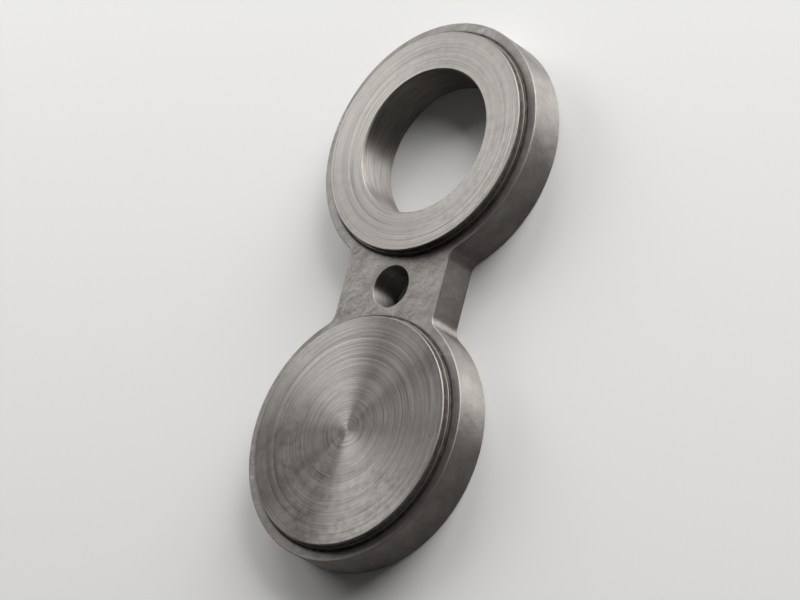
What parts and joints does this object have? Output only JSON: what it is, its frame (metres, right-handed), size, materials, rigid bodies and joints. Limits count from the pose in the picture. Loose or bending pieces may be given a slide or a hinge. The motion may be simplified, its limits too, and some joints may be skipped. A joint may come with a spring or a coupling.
{
  "type": "spectacle blind",
  "caption": "Figure-eight steel line blank: a solid disc and an open ring joined by a short web with a handling hole, raised turned gasket faces on the front, flat back.",
  "frame": {"origin": "middle of the web between the disc and the ring, at the flat back face that the blank lies on", "axes": "+X from the solid disc to the ring, +Z out of the raised gasket faces, +Y completes the right-handed frame"},
  "size_m": [0.2246, 0.104, 0.0194],
  "materials": {
    "steel": "turned gasket faces, finely blasted plate and ground edges, bare and lightly oiled"
  },
  "bodies": {
    "root": {"figure_eight_blank": "steel"}
  },
  "joints": []
}
